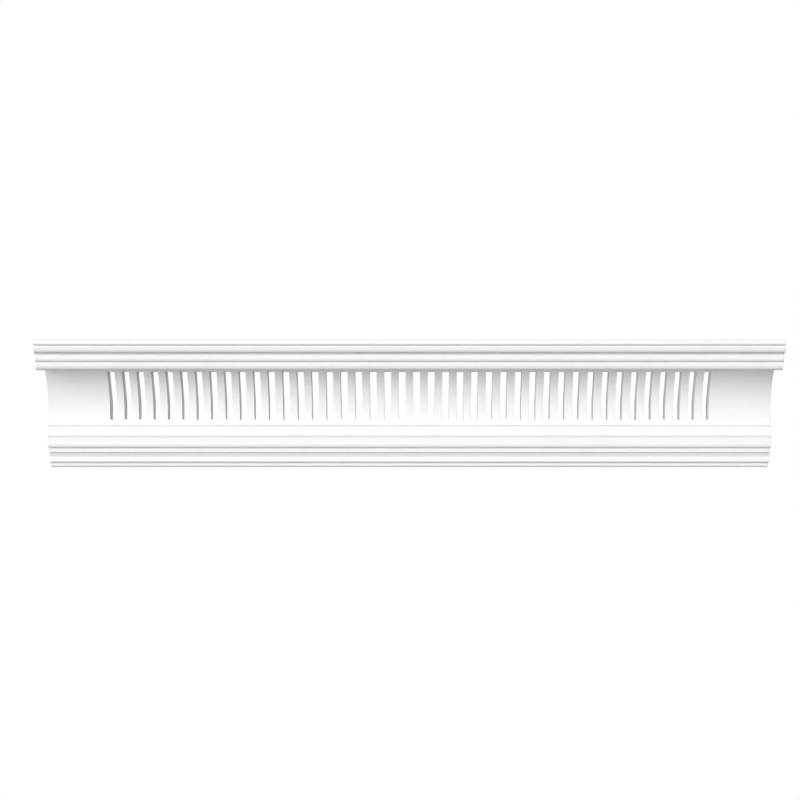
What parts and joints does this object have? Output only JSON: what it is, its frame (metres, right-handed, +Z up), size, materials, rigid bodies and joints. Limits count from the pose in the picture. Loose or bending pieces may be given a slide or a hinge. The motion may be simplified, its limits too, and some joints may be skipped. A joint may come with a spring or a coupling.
{
  "type": "ornamental cornice",
  "caption": "Straight length of crown cornice with stepped and rounded members, a deep soffit and a tall cove pierced by a row of upright vent slots.",
  "frame": {"origin": "centre of the flat bedding face on the back, which lies on the wall", "axes": "+X along the length, +Y out of the bedding face into the wall, so the show face looks along -Y, and +Z up to the ceiling"},
  "size_m": [1, 0.1725, 0.1724],
  "materials": {
    "white_paint": "smooth matt white paint on moulded foam"
  },
  "bodies": {
    "root": {"cornice": "white_paint"}
  },
  "joints": []
}
